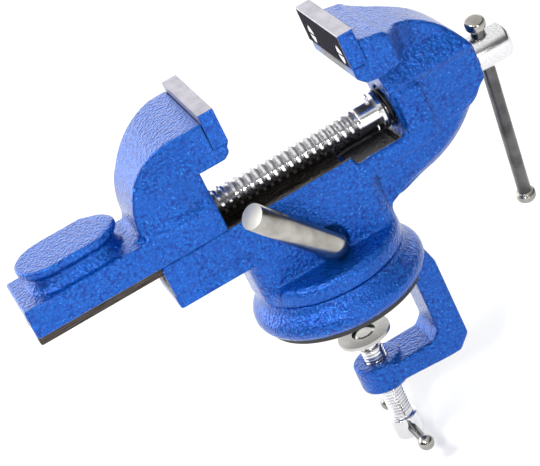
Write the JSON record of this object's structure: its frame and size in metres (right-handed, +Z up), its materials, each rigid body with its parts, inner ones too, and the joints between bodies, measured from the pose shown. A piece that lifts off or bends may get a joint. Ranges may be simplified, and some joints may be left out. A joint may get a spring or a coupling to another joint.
{
  "type": "bench vise",
  "caption": "Small clamp-on swivel bench vise with a screw-driven sliding jaw, an oval anvil, a tommy bar and a bent swivel lock lever.",
  "frame": {"origin": "on the swivel axis, at the underside of the base where it rests on the bench top", "axes": "+X along the slide towards the spindle handle, +Y across the jaws away from the lock lever, +Z up along the swivel axis"},
  "size_m": [0.2335, 0.0832, 0.193],
  "materials": {
    "blue_paint": "glossy hammertone paint on cast iron",
    "black_rubber": "matte",
    "machined_steel": "turned",
    "black_steel": "black oxide",
    "jaw_steel": "ground, with a knurled gripping face",
    "plated_steel": "bright plated",
    "polished_rod": "polished",
    "nut_metal": "machined bronze",
    "handle_steel": "drawn bar, plated"
  },
  "bodies": {
    "clamp_base": {"base_casting": "blue_paint", "bench_pad": "black_rubber", "swivel_post": "machined_steel", "post_screw": "black_steel"},
    "vise_body": {"body_casting": "blue_paint", "fixed_jaw_plate": "jaw_steel", "fixed_jaw_screws": "plated_steel"},
    "lock_lever": {"lock_lever": "polished_rod"},
    "moving_jaw": {"slide_casting": "blue_paint", "moving_jaw_plate": "jaw_steel", "moving_jaw_screws": "plated_steel", "jaw_nut": "nut_metal", "nut_grub_screw": "black_steel"},
    "spindle": {"spindle": "plated_steel", "thrust_washer": "plated_steel", "thrust_spring": "black_steel", "split_pin": "plated_steel", "head_washer": "machined_steel"},
    "tommy_bar": {"tommy_bar": "handle_steel", "tommy_knob_upper": "polished_rod", "tommy_knob_lower": "polished_rod"},
    "clamp_foot": {"clamp_foot": "machined_steel"},
    "clamp_screw": {"clamp_screw": "plated_steel", "foot_rivet": "machined_steel"},
    "clamp_bar": {"clamp_bar": "handle_steel", "clamp_bar_cap_near": "polished_rod", "clamp_bar_cap_far": "polished_rod"}
  },
  "joints": [
    {"name": "base_swivel", "type": "hinge", "parent": "clamp_base", "child": "vise_body", "pos_m": [0, 0, 0.017], "axis": [0, 0, 1], "continuous": true},
    {"name": "swivel_lock", "type": "hinge", "parent": "vise_body", "child": "lock_lever", "pos_m": [0.002, 0, 0.0316], "axis": [0, -1, 0], "range_deg": [-65, 32]},
    {"name": "jaw_slide", "type": "slide", "parent": "vise_body", "child": "moving_jaw", "axis": [1, 0, 0], "range_m": [-0.003, 0.0572]},
    {"name": "spindle_turn", "type": "hinge", "parent": "vise_body", "child": "spindle", "pos_m": [0.05, 0, 0.0668], "axis": [-1, 0, 0], "range_deg": [-180, 5580]},
    {"name": "tommy_slide", "type": "slide", "parent": "spindle", "child": "tommy_bar", "axis": [0, -0.299, 0.9542], "range_m": [-0.0025, 0.0775]},
    {"name": "clamp_feed", "type": "slide", "parent": "clamp_base", "child": "clamp_foot", "axis": [0, 0, 1], "range_m": [-0.006, 0.016]},
    {"name": "clamp_turn", "type": "hinge", "parent": "clamp_foot", "child": "clamp_screw", "pos_m": [0, 0, -0.03], "axis": [0, 0, 1], "range_deg": [-1440, 3840]},
    {"name": "clamp_bar_slide", "type": "slide", "parent": "clamp_screw", "child": "clamp_bar", "axis": [0, 1, 0], "range_m": [-0.0115, 0.0115]}
  ],
  "couplings": [
    {"joint": "jaw_slide", "follows": "spindle_turn", "m_per_rad": 0.00058251},
    {"joint": "clamp_feed", "follows": "clamp_turn", "m_per_rad": 0.00023873}
  ]
}
